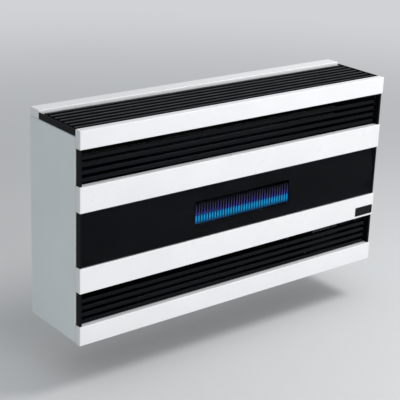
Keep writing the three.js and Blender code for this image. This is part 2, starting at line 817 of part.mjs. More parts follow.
function controlBracket() {
  const back = backPlate + fit;
  const reach = [valveLeft - sheet, valveRight + sheet];
  const shelf = joined(
    slab(reach, [back, valveFront + sheet], [valvePlate - sheet, valvePlate]),
    slab(reach, [back, back + sheet], [valvePlate - cradleDrop, valvePlate]));
  const clearance = bossRadius + 2 * fit;
  const boss = [valvePlate - punch, valvePlate + punch];
  return cut(shelf, bar(clearance, 'z', boss, [valveRight - inletX, inletOut, 0], 24));
}

// Union nut and tail of the gas supply, facing down
function gasInletUnion() {
  const top = valveBottom - bossLength - fit;
  const nut = top - unionNut;
  const face = top - inletLength;
  const [narrow, wide] = [bossRadius - unionStep, bossRadius + unionStep];
  return turned([
    [inletBore, face], [narrow, face], [narrow, nut], [wide, nut],
    [wide, top], [inletBore, top], [inletBore, face],
  ], 'z', 24).translate(valveRight - inletX, -inletOut, 0);
}

function thermostatBulb() {
  const height = 2 * sheet + 2 * fit + bulbRadius;
  const bulb = bar(bulbRadius, 'x', [bulbX, bulbX + bulbLength], [0, bulbOut, height], 16);
  const end = bulbX + bulbLength;
  const entry = controlHeight - 2.4 * bend;
  const capillary = tubeThrough([
    [end - 0.2 * bend, bulbOut, height],
    [end + 0.6 * bend, bulbOut, height],
    [end + 1.4 * bend, bulbOut + 1.5 * bend, height + 1.6 * bend],
    [valveLeft - 1.8 * bend, bulbOut + 4.5 * bend, entry - 0.6 * bend],
    [valveLeft - 1.6 * bend, valveBack + 1.5 * bend, entry],
    [valveLeft - fit, valveBack + 1.5 * bend, entry],
  ], capillaryRadius, 26);
  return joined(bulb, capillary);
}

// Controls

function controlBezel() {
  const reach = [recessBack - sheet, recessFront + sheet];
  const rise = [recessBottom - sheet, recessTop + sheet];
  const panelInside = halfWidth - sheet - fit;
  const body = joined(
    slab([recessFloor - sheet, halfWidth], reach, rise),
    slab(
      [panelInside - sheet, panelInside],
      [reach[0] - bezelLip, reach[1] + bezelLip],
      [rise[0] - bezelLip, rise[1] + bezelLip]));
  const through = [recessFloor - punch, recessFloor + punch];
  return cut(
    body,
    slab([recessFloor, halfWidth + past], [recessBack, recessFront], [recessBottom, recessTop]),
    bar(spindleRadius + sheet, 'x', through, [0, knobOut, controlHeight], 24),
    bar(igniterRadius + fit, 'x', through, [0, igniterOut, controlHeight], 24));
}

// The spindle, on its own axis: from the valve to inside the knob
function valveSpindle() {
  const from = valveRight + bossLength - spindleBite + fit;
  const to = knobBase + knobHeight - knobCap - knobTravel - spindleEnd;
  return turned(rod(spindleRadius, from, to), 'x', 24);
}

function controlKnob() {
  const top = knobBase + knobHeight;
  const bore = spindleRadius + fit;
  const grip = knobRadius - knobSkirt;
  const skirt = knobBase + knobSkirtHeight;
  const turnedBody = turned([
    [bore, knobBase], [knobRadius, knobBase], [knobRadius, skirt], [grip, skirt + knobChamfer],
    [grip - edgeBreak, top - edgeBreak], [grip - 2 * edgeBreak, top], [0, top], [0, top - knobCap],
    [bore, top - knobCap], [bore, knobBase],
  ], 'x', 48);
  const flutes = [];
  for (let i = 0; i < knobFlutes; i++) {
    const angle = (i + 0.5) * 2 * Math.PI / knobFlutes;
    const middle = [0, grip * Math.cos(angle), grip * Math.sin(angle)];
    flutes.push(bar(knobFlute, 'x', [skirt + knobChamfer + edgeBreak, top + past], middle, 8));
  }
  const pointer = slab(
    [top - knobChamfer, top + pointerProud], [-pointerWidth / 2, pointerWidth / 2],
    [spindleRadius, grip - 2 * edgeBreak]);
  return joined(cut(turnedBody, ...flutes), pointer);
}

function piezoIgniter() {
  const back = recessFloor - igniterLength;
  const nose = recessFloor + igniterNose;
  const bore = buttonRadius + fit;
  const pocket = recessFloor - buttonBite - fit - buttonTravel;
  const shoulder = back + igniterPinLength;
  return turned([
    [0, back], [igniterPin, back], [igniterPin, shoulder], [igniterRadius, shoulder + 2 * edgeBreak],
    [igniterRadius, recessFloor + fit], [igniterCollar, recessFloor + fit], [igniterCollar, nose - edgeBreak],
    [igniterCollar - edgeBreak, nose], [bore, nose], [bore, pocket], [0, pocket],
  ], 'x', 24);
}

function igniterButton() {
  const back = recessFloor - buttonBite;
  const top = recessFloor + buttonProud;
  return turned([
    [0, back], [buttonRadius, back], [buttonRadius, top - edgeBreak],
    [buttonRadius - edgeBreak, top], [0, top],
  ], 'x', 24);
}

// Finishes

const finish = (color, roughness, metalness = 0) => () =>
  new THREE.MeshStandardMaterial({ color, roughness, metalness });
const whiteEnamel = finish(0xeef0f2, 0.35);
const paleGrey = finish(0xc9cdce, 0.5);
const blackEnamel = finish(0x141416, 0.3);
const blackGloss = finish(0x0c0c0e, 0.12);
const galvanised = finish(0x9fa3a6, 0.45, 0.9);
const chamberSteel = finish(0x55565a, 0.6, 0.7);
const stainless = finish(0xb8babd, 0.35, 1);
const brass = finish(0xb8954a, 0.35, 1);
const copper = finish(0xb5714f, 0.35, 1);
const castAluminium = finish(0x8f9294, 0.55, 0.8);
const blackPlastic = finish(0x1b1b1d, 0.55);
const redPlastic = finish(0xb3241c, 0.4);
const ceramic = finish(0xf0ece2, 0.5);
const fibre = finish(0xd9d2c0, 0.95);
const foam = finish(0x2a2a2c, 0.95);
const silicone = finish(0x8c2f22, 0.7);
const tintedGlass = () => new THREE.MeshStandardMaterial({
  color: 0x202226, roughness: 0.05, transparent: true, opacity: 0.35 });

const heater = new THREE.Group();
heater.position.z = -bracketHeight;

function place(name, geometry, material, [x, out, z] = [0, 0, 0]) {
  const mesh = new THREE.Mesh(geometry, material());
  mesh.name = name;
  mesh.position.set(x, -out, z);
  heater.add(mesh);
  return mesh;
}

// Assembly: casing
place('wall_bracket', wallBracket(), galvanised);
place('back_panel', backPanel(), galvanised);
place('side_panel_left', sidePanel(-1), paleGrey);
place('side_panel_right', rightSidePanel(), paleGrey);
place('bottom_pan', bottomPan(), blackEnamel);
place('top_rail', topRail(), whiteEnamel);
place('top_grille_end_left', grilleEnd(-1), blackEnamel);
place('top_grille_end_right', grilleEnd(1), blackEnamel);
const grilleRun = fasciaBack - wallGap - railDepth;
const slatGap = (grilleRun - topSlatCount * topSlatWidth) / (topSlatCount + 1);
for (let i = 0; i < topSlatCount; i++) {
  const out = wallGap + railDepth + slatGap + topSlatWidth / 2 + i * (slatGap + topSlatWidth);
  place(`top_slat_${i + 1}`, topSlat(), blackEnamel, [0, out, topGrilleHeight - fit]);
}

// Assembly: fascia
place('front_frame', frontFrame(), blackEnamel);
place('bottom_band', band(0, lowerGrilleBottom), whiteEnamel);
place('lower_band', band(lowerBandBottom, windowBayBottom), whiteEnamel);
place('upper_band', band(upperBandBottom, upperGrilleBottom), whiteEnamel);
place('top_band', band(topBandBottom, fasciaHeight), whiteEnamel);
for (const [name, top] of [
  ['upper', topBandBottom - upperLouvreDrop], ['lower', lowerBandBottom - lowerLouvreDrop]]) {
  for (let i = 0; i < louvreCount; i++) {
    const z = top - i * louvrePitch;
    place(`${name}_louvre_${i + 1}`, louvre(), blackGloss, [0, heaterDepth - louvreSetback, z]);
  }
}
place('window_mask', windowMask(), blackEnamel);
const paneHeight = windowBayHeight - 2 * fit - seam;
place(
  'window_glass', new THREE.BoxGeometry(2 * (bayHalf - fit), glassThickness, paneHeight), tintedGlass,
  [0, glassBack + glassThickness / 2, windowBayBottom + fit + paneHeight / 2]);
place('badge_plate', badge(), blackPlastic, [
  halfWidth - badgeInset - badgeWidth / 2, heaterDepth, lowerBandBottom + badgeRise + badgeHeight / 2]);

// Assembly: chamber, sight glass and flue
const sightMiddle = (sightBottom + sightTop) / 2;
const gasketOut = chamberFront + fit;
const sightGlassOut = gasketOut + gasketThickness + fit;
const sightFrameOut = sightGlassOut + sightGlassThickness + fit;
place('combustion_chamber', combustionChamber(), chamberSteel);
place('flue_baffle', flueBaffle(), chamberSteel);
place('chamber_cradle', chamberCradle(), galvanised);
place('sight_glass_gasket', sightRing(gasketThickness), fibre, [
  0, gasketOut + gasketThickness / 2, sightMiddle]);
place('sight_glass', sightPane(), tintedGlass, [0, sightGlassOut + sightGlassThickness / 2, sightMiddle]);
place('sight_glass_frame', sightRing(sheet), chamberSteel, [0, sightFrameOut + sheet / 2, sightMiddle]);
place('flue_tube', flueTube(), stainless, [0, 0, flueHeight]);
place('air_tube', airTube(), galvanised, [0, 0, flueHeight]);
place('flue_seal', flueSeal(), foam, [0, 0, flueHeight]);
place('air_duct', airDuct(), galvanised);

// Assembly: burner, pilot group and gas parts
place('burner', burner(), stainless, [0, burnerOut, burnerAxis]);
place('burner_tray', burnerTray(), chamberSteel);
place('injector', injector(), brass, [0, burnerOut, burnerAxis]);
place('pilot_burner', pilotBurner(), stainless, [pilotX, pilotOut, 0]);
place('spark_electrode', sparkElectrode(), ceramic, [pilotX - pilotSpacing, pilotOut, 0]);
place('thermocouple', thermocouple(), copper);
place('pilot_tube', pilotTube(), copper);
place('ignition_lead', ignitionLead(), silicone);
place('gas_pipe', gasPipe(), copper);
place('gas_valve', gasValve(), castAluminium);
place('gas_inlet_union', gasInletUnion(), brass);
place('control_bracket', controlBracket(), galvanised);
place('thermostat_bulb', thermostatBulb(), copper);

// Assembly: controls
place('control_bezel', controlBezel(), blackPlastic);
place('valve_spindle', valveSpindle(), brass, [0, knobOut, controlHeight]);
place('control_knob', controlKnob(), blackPlastic, [0, knobOut, controlHeight]);
place('piezo_igniter', piezoIgniter(), blackPlastic, [0, igniterOut, controlHeight]);
place('igniter_button', igniterButton(), redPlastic, [0, igniterOut, controlHeight]);

export default heater;
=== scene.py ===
# %% [markdown]
# # A wall-hung gas heater in white and black enamel
# The sheet-metal parts arrive as plain, sharp-edged solids. This lesson gives them what a camera sees:
# rolled edges, stove enamel, smoked glass, a row of blue flames, and the screws that hold it together.
# Everything is in metres, with the wall at y = 0, the room towards -Y and Z up.

import json
import math
import random

import bmesh
import bpy
from mathutils import Matrix, Vector


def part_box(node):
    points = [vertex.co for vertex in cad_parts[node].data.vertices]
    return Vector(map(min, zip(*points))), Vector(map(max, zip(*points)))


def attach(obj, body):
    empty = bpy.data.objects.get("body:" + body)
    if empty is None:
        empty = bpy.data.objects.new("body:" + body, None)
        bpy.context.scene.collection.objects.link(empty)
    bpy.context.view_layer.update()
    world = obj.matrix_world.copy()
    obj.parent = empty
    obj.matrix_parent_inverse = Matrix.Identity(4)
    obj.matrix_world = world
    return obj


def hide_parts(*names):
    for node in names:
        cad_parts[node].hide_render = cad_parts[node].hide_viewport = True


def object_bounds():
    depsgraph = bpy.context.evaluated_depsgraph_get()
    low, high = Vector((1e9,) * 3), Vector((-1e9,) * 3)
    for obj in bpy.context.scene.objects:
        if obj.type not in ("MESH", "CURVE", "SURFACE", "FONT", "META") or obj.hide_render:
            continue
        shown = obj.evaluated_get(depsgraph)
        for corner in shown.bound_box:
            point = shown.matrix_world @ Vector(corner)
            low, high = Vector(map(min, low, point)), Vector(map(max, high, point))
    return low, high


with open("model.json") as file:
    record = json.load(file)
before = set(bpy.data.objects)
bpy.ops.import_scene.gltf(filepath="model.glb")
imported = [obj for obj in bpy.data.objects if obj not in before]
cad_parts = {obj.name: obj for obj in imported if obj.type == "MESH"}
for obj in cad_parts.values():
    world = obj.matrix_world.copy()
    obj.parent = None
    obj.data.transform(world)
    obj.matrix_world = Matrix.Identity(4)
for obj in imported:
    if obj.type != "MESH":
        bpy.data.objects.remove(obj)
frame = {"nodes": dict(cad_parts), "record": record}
cad_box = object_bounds()
nodes = frame["nodes"]
MM = 0.001

# %% [markdown]
# ## The camera
# The photograph looks down on the heater from the front left with a fairly long lens. The lens, place and
# turn were worked out from the long straight edges of the bands, which meet at two vanishing points. The
# picture is slightly rolled, because the photographer's camera was, and shifted a little off its middle.

# %% Camera
CAMERA_PLACE = Vector((-1.881, -2.414, 0.895))
CAMERA_TURN = math.radians(39.73)  # left of the heater's front
CAMERA_DIP = math.radians(19.49)
CAMERA_ROLL = math.radians(2.55)
CAMERA_LENS = 105.6
CAMERA_SHIFT = (-0.06, -0.04)


def make_camera():
    camera = bpy.data.cameras.new("camera")
    camera.lens = CAMERA_LENS
    camera.shift_x, camera.shift_y = CAMERA_SHIFT
    forward = Vector((
        math.sin(CAMERA_TURN) * math.cos(CAMERA_DIP),
        math.cos(CAMERA_TURN) * math.cos(CAMERA_DIP),
        -math.sin(CAMERA_DIP)))
    level = Vector((math.cos(CAMERA_TURN), -math.sin(CAMERA_TURN), 0))
    upright = level.cross(forward)
    right = level * math.cos(CAMERA_ROLL) + upright * math.sin(CAMERA_ROLL)
    up = upright * math.cos(CAMERA_ROLL) - level * math.sin(CAMERA_ROLL)
    holder = bpy.data.objects.new("camera", camera)
    holder.matrix_world = Matrix((
        (right.x, up.x, -forward.x, CAMERA_PLACE.x),
        (right.y, up.y, -forward.y, CAMERA_PLACE.y),
        (right.z, up.z, -forward.z, CAMERA_PLACE.z),
        (0, 0, 0, 1)))
    bpy.context.scene.collection.objects.link(holder)
    bpy.context.scene.camera = holder


make_camera()
print("lens:", CAMERA_LENS, "mm")

# %% [markdown]
# ## Light, floor and background
# A product picture of white goods needs even light that is brighter on the front than on the side, so that
# the edges read. One wide soft lamp stands to the right of the camera, one hangs above, and the world fills
# in the rest. White enamel would be lost on a white background, so the backdrop is a pale grey. Only the
# camera and reflections see it, which a Light Path node sorts out, so it adds no light to the enamel.

# %% World
FILL = 0.48
FILL_COLOR = (0.95, 0.985, 1.0, 1)
BACKDROP = (0.63, 0.645, 0.66, 1)


def seen_directly(tree):
    """A factor that is 1 for camera, glossy and transmission rays and 0 for the rays that light things."""
    path = tree.nodes.new("ShaderNodeLightPath")
    either = tree.nodes.new("ShaderNodeMath")
    either.operation = "MAXIMUM"
    tree.links.new(path.outputs["Is Camera Ray"], either.inputs[0])
    tree.links.new(path.outputs["Is Glossy Ray"], either.inputs[1])
    any_of = tree.nodes.new("ShaderNodeMath")
    any_of.operation = "MAXIMUM"
    tree.links.new(either.outputs[0], any_of.inputs[0])
    tree.links.new(path.outputs["Is Transmission Ray"], any_of.inputs[1])
    return any_of.outputs[0]


def make_world():
    world = bpy.data.worlds.new("studio")
    world.use_nodes = True
    tree = world.node_tree
    tree.nodes.clear()
    fill = tree.nodes.new("ShaderNodeBackground")
    fill.inputs["Color"].default_value = FILL_COLOR
    fill.inputs["Strength"].default_value = FILL
    backdrop = tree.nodes.new("ShaderNodeBackground")
    backdrop.inputs["Color"].default_value = BACKDROP
    mix = tree.nodes.new("ShaderNodeMixShader")
    out = tree.nodes.new("ShaderNodeOutputWorld")
    tree.links.new(seen_directly(tree), mix.inputs["Fac"])
    tree.links.new(fill.outputs[0], mix.inputs[1])
    tree.links.new(backdrop.outputs[0], mix.inputs[2])
    tree.links.new(mix.outputs[0], out.inputs["Surface"])
    bpy.context.scene.world = world
    bpy.context.scene.view_settings.view_transform = "Standard"


make_world()
print("fill light:", FILL)


# %% Lamps
def soft_lamp(name, place, aim, size, watts):
    lamp = bpy.data.lights.new(name, "AREA")
    lamp.shape = "DISK"
    lamp.size = size
    lamp.energy = watts
    holder = bpy.data.objects.new(name, lamp)
    holder.location = place
    holder.rotation_euler = (Vector(aim) - Vector(place)).to_track_quat("-Z", "Y").to_euler()
    bpy.context.scene.collection.objects.link(holder)


soft_lamp("key_lamp", place=(0.05, -3.4, 0.7), aim=(0, -0.2, -0.2), size=2.0, watts=43)
soft_lamp("top_lamp", place=(1.2, -0.9, 1.7), aim=(0, -0.15, 0), size=0.9, watts=24)

# %% [markdown]
# ## The floor
# A wall heater hangs a hand's width above the floor. The floor here is a plain pale sheet that takes the
# heater's soft shadow, and further off it fades into the backdrop, so that no horizon shows. Its underside
# is clear, so that the casing's floor can be looked at from below.

# %% Floor
FLOOR_GAP = 0.12
FLOOR_HALF = 14.0
FLOOR_COLOR = (0.74, 0.745, 0.75, 1)
FLOOR_HEIGHT = cad_box[0].z - FLOOR_GAP
FADE_FROM, FADE_TO = 1.3, 4.5  # metres from the heater


def floor_paper():
    material = bpy.data.materials.new("floor_paper")
    material.use_nodes = True
    tree = material.node_tree
    tree.nodes.clear()
    paper = tree.nodes.new("ShaderNodeBsdfDiffuse")
    paper.inputs["Color"].default_value = FLOOR_COLOR
    far = tree.nodes.new("ShaderNodeEmission")
    far.inputs["Color"].default_value = BACKDROP
    coordinates = tree.nodes.new("ShaderNodeTexCoord")
    distance = tree.nodes.new("ShaderNodeVectorMath")
    distance.operation = "LENGTH"
    tree.links.new(coordinates.outputs["Object"], distance.inputs[0])
    fade = tree.nodes.new("ShaderNodeMapRange")
    fade.interpolation_type = "SMOOTHSTEP"
    fade.inputs["From Min"].default_value = FADE_FROM
    fade.inputs["From Max"].default_value = FADE_TO
    tree.links.new(distance.outputs["Value"], fade.inputs["Value"])
    share = tree.nodes.new("ShaderNodeMath")
    share.operation = "MULTIPLY"
    tree.links.new(fade.outputs["Result"], share.inputs[0])
    tree.links.new(seen_directly(tree), share.inputs[1])
    mix = tree.nodes.new("ShaderNodeMixShader")
    tree.links.new(share.outputs[0], mix.inputs["Fac"])
    tree.links.new(paper.outputs[0], mix.inputs[1])
    tree.links.new(far.outputs[0], mix.inputs[2])
    side = tree.nodes.new("ShaderNodeNewGeometry")
    clear = tree.nodes.new("ShaderNodeBsdfTransparent")
    one_sided = tree.nodes.new("ShaderNodeMixShader")
    tree.links.new(side.outputs["Backfacing"], one_sided.inputs["Fac"])
    tree.links.new(mix.outputs[0], one_sided.inputs[1])
    tree.links.new(clear.outputs[0], one_sided.inputs[2])
    out = tree.nodes.new("ShaderNodeOutputMaterial")
    tree.links.new(one_sided.outputs[0], out.inputs["Surface"])
    return material


def make_floor():
    corners = [(-1, -1), (1, -1), (1, 1), (-1, 1)]
    mesh = bpy.data.meshes.new("floor")
    mesh.from_pydata([(x * FLOOR_HALF, y * FLOOR_HALF, 0) for x, y in corners], [], [(0, 1, 2, 3)])
    mesh.materials.append(floor_paper())
    floor = bpy.data.objects.new("floor", mesh)
    floor.location.z = FLOOR_HEIGHT
    bpy.context.scene.collection.objects.link(floor)


make_floor()
print("floor at", round(FLOOR_HEIGHT, 3))

# %% [markdown]
# ## Finishes
# Paint is never one flat colour. Stove enamel flows out into a very slight orange peel a few millimetres
# across, powder coat is grained like fine leather, and zinc crystallises into spangles. Each finish below
# is noise in the object's own coordinates, at the size that the real grain has, fed to colour, roughness
# and bump. What is the same all over the surface is set on the shader itself.

# %% Shader helpers
def principled(name, color, roughness, metallic=0.0):
    material = bpy.data.materials.new(name)
    material.use_nodes = True
    tree = material.node_tree
    shader = tree.nodes["Principled BSDF"]
    shader.inputs["Base Color"].default_value = (*color, 1)
    shader.inputs["Roughness"].default_value = roughness
    shader.inputs["Metallic"].default_value = metallic
    return material, tree, shader


def place_on(tree, stretch=(1, 1, 1)):
    """The object's own coordinates, in metres, scaled along each axis."""
    coordinates = tree.nodes.new("ShaderNodeTexCoord")
    mapping = tree.nodes.new("ShaderNodeMapping")
    mapping.inputs["Scale"].default_value = stretch
    tree.links.new(coordinates.outputs["Object"], mapping.inputs["Vector"])
    return mapping.outputs["Vector"]


def noise(tree, size, detail=2.0, stretch=(1, 1, 1)):
    """Noise whose lumps are about size metres across."""
    texture = tree.nodes.new("ShaderNodeTexNoise")
    texture.inputs["Scale"].default_value = 1 / size
    texture.inputs["Detail"].default_value = detail
    tree.links.new(place_on(tree, stretch), texture.inputs["Vector"])
    return texture.outputs["Fac"]


def remap(tree, value, low, high, start=0.3, end=0.7):
    node = tree.nodes.new("ShaderNodeMapRange")
    node.inputs["From Min"].default_value = start
    node.inputs["From Max"].default_value = end
    node.inputs["To Min"].default_value = low
    node.inputs["To Max"].default_value = high
    tree.links.new(value, node.inputs["Value"])
    return node.outputs["Result"]


def color_between(tree, value, stops):
    """A colour ramp with (place, colour) stops."""
    ramp = tree.nodes.new("ShaderNodeValToRGB")
    elements = ramp.color_ramp.elements
    while len(elements) < len(stops):
        elements.new(0.5)
    for element, (place, color) in zip(elements, stops):
        element.position = place
        element.color = (*color, 1)
    tree.links.new(value, ramp.inputs["Fac"])
    return ramp.outputs["Color"]


def bump(tree, shader, height, strength, depth):
    node = tree.nodes.new("ShaderNodeBump")
    node.inputs["Strength"].default_value = strength
    node.inputs["Distance"].default_value = depth
    tree.links.new(height, node.inputs["Height"])
    tree.links.new(node.outputs["Normal"], shader.inputs["Normal"])


def shade(color, factor):
    return tuple(min(1, c * factor) for c in color)


print("shader helpers ready")


# %% Painted sheet
COOL_GLOSS = (0.74, 0.88, 1.0, 1)
ENAMEL_CLOUD, POWDER_CLOUD = 180 * MM, 220 * MM
SMUDGE = 50 * MM
PEEL = 4 * MM
PAINT_DEPTH = 0.2 * MM


def enamel(name, color, roughness, gloss, peel=0.12):
    """Stove enamel: faint cloudiness, smudges of roughness and an orange peel some 4 mm across."""
    material, tree, shader = principled(name, color, roughness)
    shader.inputs["Specular IOR Level"].default_value = gloss
    shader.inputs["Specular Tint"].default_value = COOL_GLOSS
    cloud = noise(tree, ENAMEL_CLOUD, 3)
    tint = color_between(tree, cloud, [(0.3, shade(color, 0.965)), (0.7, shade(color, 1.02))])
    tree.links.new(tint, shader.inputs["Base Color"])
    smudge = remap(tree, noise(tree, SMUDGE, 4), roughness * 0.85, roughness * 1.2)
    tree.links.new(smudge, shader.inputs["Roughness"])
    bump(tree, shader, noise(tree, PEEL, 1), peel, PAINT_DEPTH)
    return material


def powder_coat(name, color, roughness, grain=0.9 * MM, strength=0.25):
    material, tree, shader = principled(name, color, roughness)
    cloud = noise(tree, POWDER_CLOUD, 3)
    tint = color_between(tree, cloud, [(0.3, shade(color, 0.96)), (0.7, shade(color, 1.025))])
    tree.links.new(tint, shader.inputs["Base Color"])
    patches = remap(tree, noise(tree, grain * 4, 3), roughness - 0.06, roughness + 0.08)
    tree.links.new(patches, shader.inputs["Roughness"])
    bump(tree, shader, noise(tree, grain, 2), strength, PAINT_DEPTH)
    return material


WHITE = (0.863, 0.86, 0.868)
SIDE_WHITE = (0.80, 0.85, 0.875)
finishes = {
    "white_enamel": enamel("white_enamel", WHITE, 0.32, 0.45, 0.04),
    "pale_grey_paint": powder_coat("pale_grey_paint", SIDE_WHITE, 0.46),
    "black_enamel": enamel("black_enamel", (0.0045, 0.005, 0.006), 0.34, 0.07, 0.06),
    "black_gloss": enamel("black_gloss", (0.0015, 0.0017, 0.0022), 0.14, 0.13, 0.05),
}
print("paints:", sorted(finishes))

# %% [markdown]
# ### Bare metals
# Galvanised sheet shows zinc crystals, each a flat patch of its own brightness: a Voronoi texture gives one
# value per cell. Drawn copper, turned brass and stainless steel have dull stains, darker and lighter patches
# of their own colour that a noise wanders through.

# %% Bare metals
SPANGLE = 11 * MM
ZINC_GRAIN = 2 * MM
METAL_STAIN = 30 * MM
METAL_DEPTH = 0.1 * MM
ZINC = (0.5, 0.51, 0.52)
DULL_ZINC, BRIGHT_ZINC = (0.475, 0.487, 0.495), (0.545, 0.555, 0.56)


def galvanised(name):
    material, tree, shader = principled(name, ZINC, 0.42, 0.85)
    cells = tree.nodes.new("ShaderNodeTexVoronoi")
    cells.inputs["Scale"].default_value = 1 / SPANGLE
    tree.links.new(place_on(tree), cells.inputs["Vector"])
    crystal = tree.nodes.new("ShaderNodeSeparateColor")
    tree.links.new(cells.outputs["Color"], crystal.inputs["Color"])
    tint = color_between(tree, crystal.outputs["Red"], [(0.0, DULL_ZINC), (1.0, BRIGHT_ZINC)])
    tree.links.new(tint, shader.inputs["Base Color"])
    tree.links.new(remap(tree, crystal.outputs["Green"], 0.38, 0.5, 0, 1), shader.inputs["Roughness"])
    bump(tree, shader, noise(tree, ZINC_GRAIN, 2), 0.1, METAL_DEPTH)
    return material


def bare_metal(name, color, roughness, stretch=(1, 1, 1), grain=1.2 * MM, stain=(0.8, 1.06)):
    material, tree, shader = principled(name, color, roughness, 1.0)
    cloud = noise(tree, METAL_STAIN, 4, stretch)
    tint = color_between(tree, cloud, [(0.3, shade(color, stain[0])), (0.7, shade(color, stain[1]))])
    tree.links.new(tint, shader.inputs["Base Color"])
    fine = noise(tree, grain, 3, stretch)
    tree.links.new(remap(tree, fine, roughness * 0.75, roughness * 1.3), shader.inputs["Roughness"])
    bump(tree, shader, fine, 0.12, METAL_DEPTH)
    return material


finishes.update({
    "galvanised_steel": galvanised("galvanised_steel"),
    "stainless_steel": bare_metal("stainless_steel", (0.52, 0.5, 0.47), 0.32, (0.1, 1, 1)),
    "brass": bare_metal("brass", (0.62, 0.44, 0.17), 0.3),
    "copper": bare_metal("copper", (0.62, 0.31, 0.19), 0.34),
    "cast_aluminium": bare_metal(
        "cast_aluminium", (0.17, 0.175, 0.18), 0.6, grain=0.7 * MM, stain=(0.9, 1.05)),
})
print("metals:", sorted(finishes))

# %% [markdown]
# Behind the grilles all is black, as the inside of the casing lies in shade, and that shade is painted on.
# So the back panel and the side panels wear two finishes on one sheet: a node compares the way that a face
# looks with the way out of the casing, and painted shade, near black, takes over on the faces that look
# inwards.

# %% Painted shade inside
# painted shade: the near black that the faces looking into the casing get
INSIDE_PAINTED_SHADE = (0.006, 0.006, 0.007, 1)
FACES_IN = -0.00001  # below this a face looks into the casing


def paint_shade_inside(material, outwards):
    """Paints near-black shade into a finish where outwards(tree, normal, place) gives a value below zero."""
    tree = material.node_tree
    shader = tree.nodes["Principled BSDF"]
    coordinates = tree.nodes.new("ShaderNodeTexCoord")
    inwards = tree.nodes.new("ShaderNodeMath")
    inwards.operation = "LESS_THAN"
    inwards.inputs[1].default_value = FACES_IN
    facing = outwards(tree, coordinates.outputs["Normal"], coordinates.outputs["Object"])
    tree.links.new(facing, inwards.inputs[0])
    paint = tree.nodes.new("ShaderNodeMix")
    paint.data_type = "RGBA"
    tree.links.new(inwards.outputs[0], paint.inputs["Factor"])
    tree.links.new(shader.inputs["Base Color"].links[0].from_socket, paint.inputs["A"])
    paint.inputs["B"].default_value = INSIDE_PAINTED_SHADE
    tree.links.new(paint.outputs["Result"], shader.inputs["Base Color"])
    return material


def to_the_wall(tree, normal, place):
    split = tree.nodes.new("ShaderNodeSeparateXYZ")
    tree.links.new(normal, split.inputs["Vector"])
    return split.outputs["Y"]


def to_the_side(tree, normal, place):
    """Above zero where a face looks away from the heater's middle."""
    along = tree.nodes.new("ShaderNodeVectorMath")
    along.operation = "MULTIPLY"
    tree.links.new(normal, along.inputs[0])
    tree.links.new(place, along.inputs[1])
    split = tree.nodes.new("ShaderNodeSeparateXYZ")
    tree.links.new(along.outputs["Vector"], split.inputs["Vector"])
    return split.outputs["X"]


# the faces of these panels that look into the casing carry painted shade
back_panel_zinc_painted_shade = paint_shade_inside(galvanised("back_panel_zinc_painted_shade"), to_the_wall)
side_panel_painted_shade = paint_shade_inside(powder_coat("side_panel_painted_shade", SIDE_WHITE, 0.46), to_the_side)
print("two-sided:", back_panel_zinc_painted_shade.name, side_panel_painted_shade.name)


# %% Mouldings, fibre, foam and ceramic
MOULDING_CLOUD = 20 * MM


def moulded(name, color, roughness, grain=0.6 * MM, strength=0.15, gloss=0.4):
    material, tree, shader = principled(name, color, roughness)
    shader.inputs["Specular IOR Level"].default_value = gloss
    cloud = noise(tree, MOULDING_CLOUD, 3)
    tint = color_between(tree, cloud, [(0.3, shade(color, 0.9)), (0.7, shade(color, 1.1))])
    tree.links.new(tint, shader.inputs["Base Color"])
    patches = remap(tree, noise(tree, grain * 3, 3), roughness - 0.05, roughness + 0.07)
    tree.links.new(patches, shader.inputs["Roughness"])
    bump(tree, shader, noise(tree, grain, 2), strength, PAINT_DEPTH)
    return material


finishes.update({
    # chamber_steel is near black: a dark finish made darker still as painted shade, for the inside of the
    # firebox seen through the window
    "chamber_steel": moulded("chamber_steel", (0.005, 0.005, 0.006), 0.7, 0.9 * MM, 0.3, 0.02),
    "badge_plastic": moulded("badge_plastic", (0.005, 0.005, 0.006), 0.2, 4 * MM, 0.03, 0.12),
    "black_plastic": moulded("black_plastic", (0.017, 0.017, 0.019), 0.45),
    "red_plastic": moulded("red_plastic", (0.5, 0.028, 0.02), 0.28, 3 * MM, 0.04),
    "gasket_fibre": moulded("gasket_fibre", (0.62, 0.57, 0.47), 0.9, 1.5 * MM, 0.6, 0.1),
    "foam_seal": moulded("foam_seal", (0.03, 0.03, 0.032), 0.9, 1.2 * MM, 0.8, 0.1),
    "silicone_lead": moulded("silicone_lead", (0.05, 0.014, 0.012), 0.5, 2 * MM, 0.05),
    "ceramic": moulded("ceramic", (0.8, 0.77, 0.7), 0.22, 3 * MM, 0.04, 0.5),
})
print("mouldings:", len(finishes))

# %% [markdown]
# ### Glass
# The front is one long pane of smoked, toughened glass over a black mask, so it reads as black with a
# window in it. The pane refracts and has its own thickness, and its body colour darkens what is seen
# through it. Window glass bends light by 1.5, but a pane at that index would mirror the pale studio and
# hide the flames, so the index is kept low, and the gloss is given to the printed mask behind it instead.
# A whisper of roughness noise stands for the haze that heat leaves behind.

# %% Glass
PANE_INDEX = 1.03
HAZE = 0.01  # roughness
HAZE_PATCH = 60 * MM


def glass(name, color):
    material, tree, shader = principled(name, color, 0.0)
    shader.inputs["Transmission Weight"].default_value = 1.0
    shader.inputs["IOR"].default_value = PANE_INDEX
    tree.links.new(remap(tree, noise(tree, HAZE_PATCH, 3), 0.0, HAZE), shader.inputs["Roughness"])
    return material


finishes["tinted_glass"] = glass("tinted_glass", (0.62, 0.63, 0.65))
finishes["clear_glass"] = glass("clear_glass", (0.95, 0.96, 0.95))
printed_mask = enamel("printed_mask", (0.0068, 0.0069, 0.0072), 0.09, 0.15, 0.0)
print("finishes:", len(finishes))

# %% [markdown]
# ## Soft edges on every solid
# Nothing pressed or moulded has a knife edge, and the bright hairline along each fold is what makes sheet
# metal look like sheet metal. The solids come as loose triangles, so Weld joins them, Decimate clears
# the seams across flat faces, and then Bevel can run along the true edges. Weighted normals keep the flat
# faces flat. All of these are modifiers, so the solids stay as they were.

